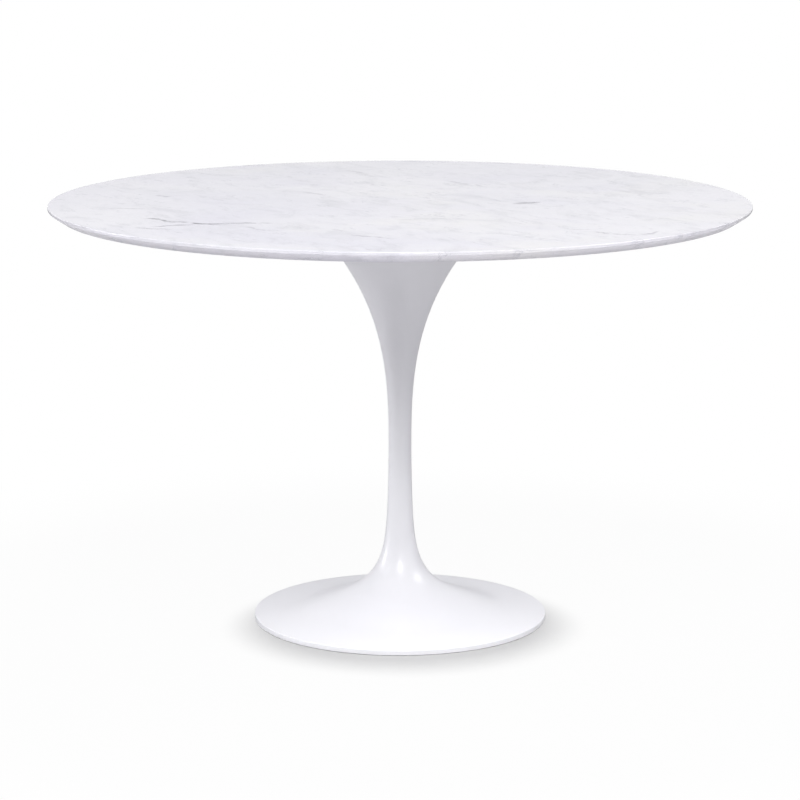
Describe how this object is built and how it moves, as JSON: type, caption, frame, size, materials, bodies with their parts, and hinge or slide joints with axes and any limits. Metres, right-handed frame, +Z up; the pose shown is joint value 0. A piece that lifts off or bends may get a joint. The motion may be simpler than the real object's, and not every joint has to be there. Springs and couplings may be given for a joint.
{
  "type": "pedestal table",
  "caption": "Round stone-topped dining table on a one-piece trumpet pedestal with a slim waist and a flared disc foot, clamped by a tie rod.",
  "frame": {"origin": "on the floor, under the middle of the round top", "axes": "+Z up along the pedestal's axis; the table is round, so +X and -Y are any two square directions across it"},
  "size_m": [1.1999, 1.2, 0.734],
  "materials": {
    "marble": "polished",
    "lacquer": "gloss",
    "plate_steel": "matte",
    "zinc_steel": "satin",
    "brass": "satin",
    "rubber": "matte",
    "iron": "matte",
    "nylon": "satin"
  },
  "bodies": {
    "root": {"marble_top": "marble", "top_inserts": "brass", "plate_gasket": "rubber", "mounting_plate": "plate_steel", "rod_hub": "plate_steel", "plate_screws": "zinc_steel", "plate_washers": "zinc_steel", "tie_rod": "zinc_steel", "rod_jam_nut": "zinc_steel", "pedestal": "lacquer", "clamp_washer": "zinc_steel", "spring_washer": "zinc_steel", "clamp_nut": "zinc_steel", "ballast_ring": "iron", "ballast_bolts": "zinc_steel", "ballast_washers": "zinc_steel", "glide_ring": "nylon"}
  },
  "joints": []
}
